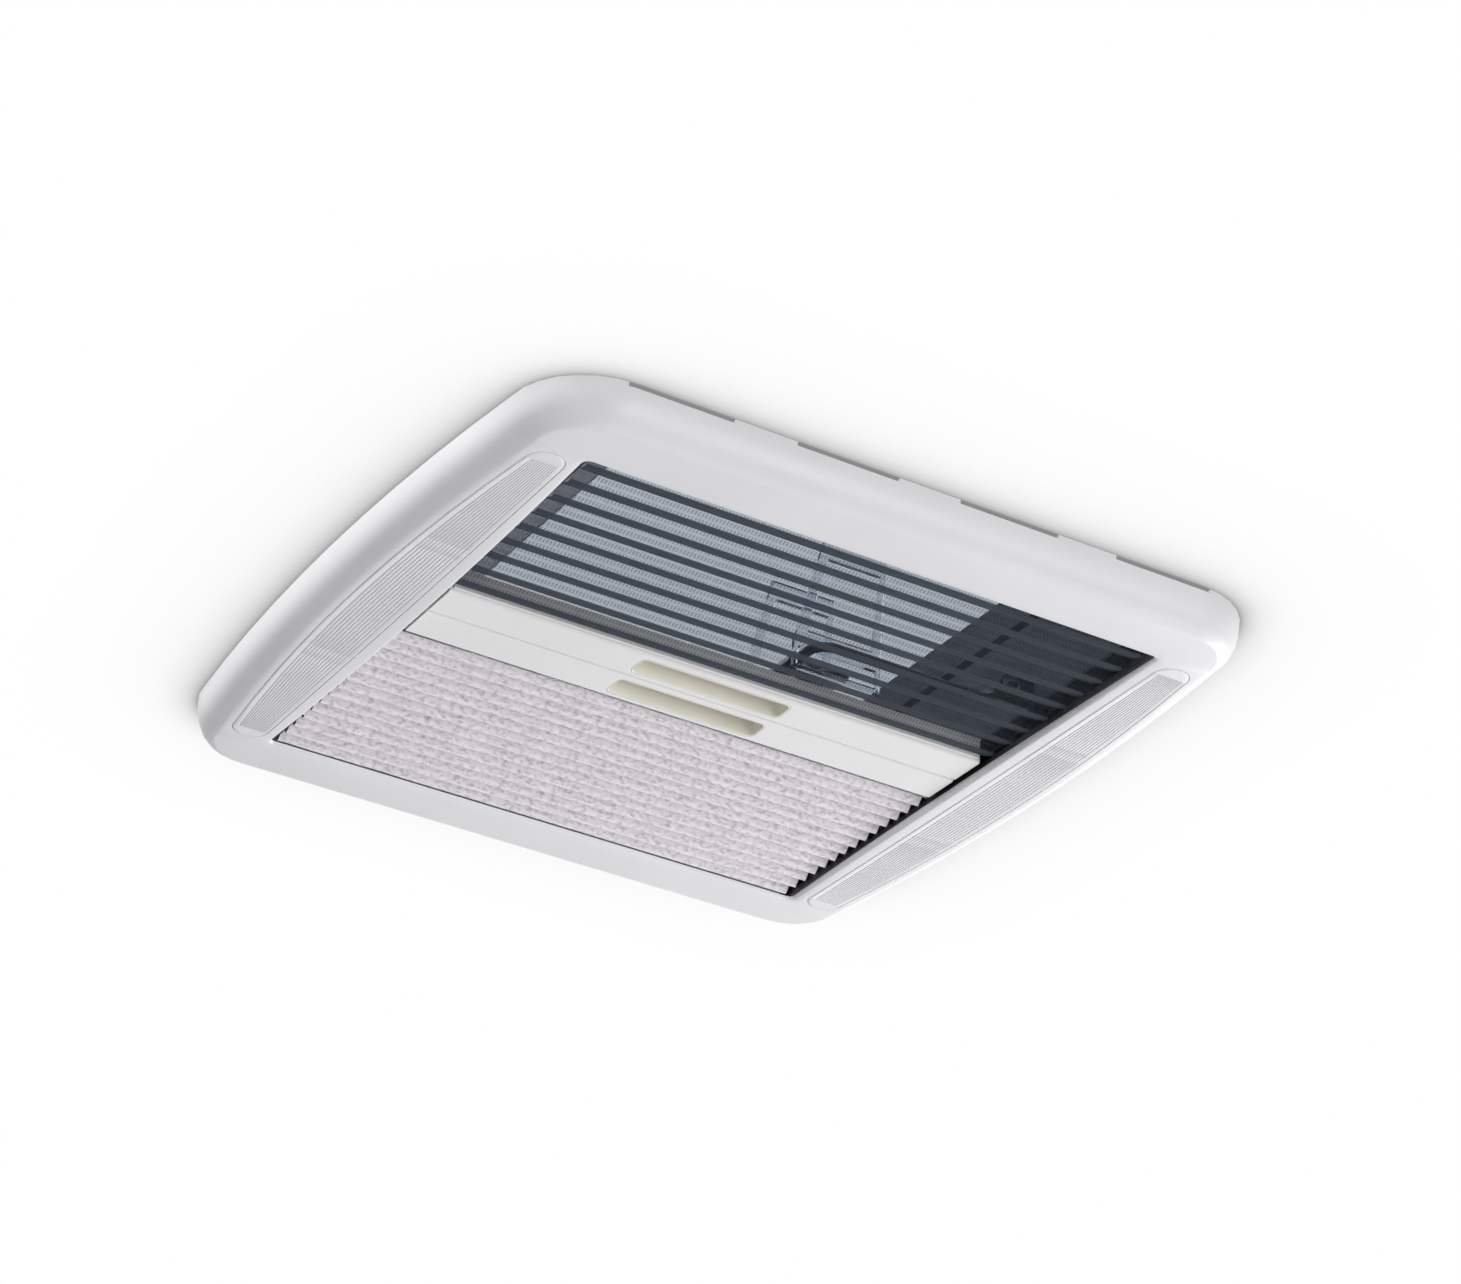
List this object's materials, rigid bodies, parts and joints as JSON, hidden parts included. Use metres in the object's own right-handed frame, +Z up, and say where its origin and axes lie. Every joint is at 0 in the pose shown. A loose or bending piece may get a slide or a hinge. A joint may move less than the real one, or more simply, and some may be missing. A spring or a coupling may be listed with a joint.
{
  "type": "rooflight with pleated blinds",
  "caption": "Lift-up caravan rooflight: white room-side frame with pleated insect screen and blackout blind, duct, bail and tinted double dome.",
  "frame": {"origin": "centre of the roof cut-out on the ceiling plane, where the rim of the inner frame meets the ceiling", "axes": "+Z up through the roof to the sky, +Y along the blinds' travel towards the blackout end, +X towards the hinge side"},
  "size_m": [0.492, 0.4956, 0.1309],
  "materials": {
    "white_abs": "glossy moulded",
    "white_strip": "satin moulded",
    "white_bar": "glossy extruded",
    "ivory_plastic": "glossy moulded",
    "black_plastic": "matt moulded",
    "grey_abs": "satin moulded",
    "screen_mesh": "coated glass-fibre mesh",
    "blackout_cloth": "pleated fleece",
    "cord": "braided",
    "zinc_steel": "zinc plated",
    "stainless_steel": "drawn",
    "black_steel": "powder coated",
    "seal_rubber": "matt",
    "smoked_acrylic": "polished",
    "tinted_acrylic": "polished"
  },
  "bodies": {
    "frame": {"inner_frame": "white_abs", "cover_strip_left": "white_strip", "cover_strip_right": "white_strip", "screw_tray_left": "white_abs", "screw_tray_right": "white_abs", "guide_rail_left": "black_plastic", "guide_rail_right": "black_plastic", "screen_header": "black_plastic", "blackout_header": "black_plastic", "flyscreen": "screen_mesh", "blackout_fabric": "blackout_cloth", "tension_cords": "cord", "cord_anchors": "black_plastic", "fixing_screws": "zinc_steel", "roof_flange": "grey_abs", "duct": "grey_abs", "screw_towers": "grey_abs", "flange_webs": "grey_abs", "dome_seal": "seal_rubber", "hinge_brackets": "black_plastic", "hinge_pins": "stainless_steel", "bail_bearings": "black_plastic", "draught_guard": "smoked_acrylic"},
    "screen_bar_body": {"screen_bar": "white_bar", "screen_pull": "ivory_plastic", "screen_clamp": "white_bar", "screen_glides": "black_plastic"},
    "blackout_bar_body": {"blackout_bar": "white_bar", "blackout_pull": "ivory_plastic", "blackout_clamp": "white_bar", "blackout_glides": "black_plastic"},
    "dome": {"dome_outer": "tinted_acrylic", "dome_inner": "tinted_acrylic", "dome_frame": "grey_abs", "hinge_leaves": "black_plastic", "bail_guides": "smoked_acrylic", "dome_screws": "stainless_steel"},
    "bail": {"bail_rod": "black_steel", "bail_grip": "smoked_acrylic", "bail_clips": "stainless_steel"}
  },
  "joints": [
    {"name": "screen_slide", "type": "slide", "parent": "frame", "child": "screen_bar_body", "axis": [0, 1, 0], "range_m": [-0.147, 0], "deforming": ["flyscreen"]},
    {"name": "blackout_slide", "type": "slide", "parent": "frame", "child": "blackout_bar_body", "axis": [0, 1, 0], "range_m": [0, 0.147], "deforming": ["blackout_fabric"]},
    {"name": "dome_hinge", "type": "hinge", "parent": "frame", "child": "dome", "pos_m": [0.234, 0, 0.045], "axis": [0, 1, 0], "range_deg": [0, 38.5]},
    {"name": "bail_pivot", "type": "hinge", "parent": "frame", "child": "bail", "pos_m": [0.168, 0, 0.01], "axis": [0, 1, 0], "range_deg": [0, 55]}
  ],
  "couplings": [
    {"joint": "bail_pivot", "follows": "dome_hinge", "ratio": 1.4285}
  ]
}
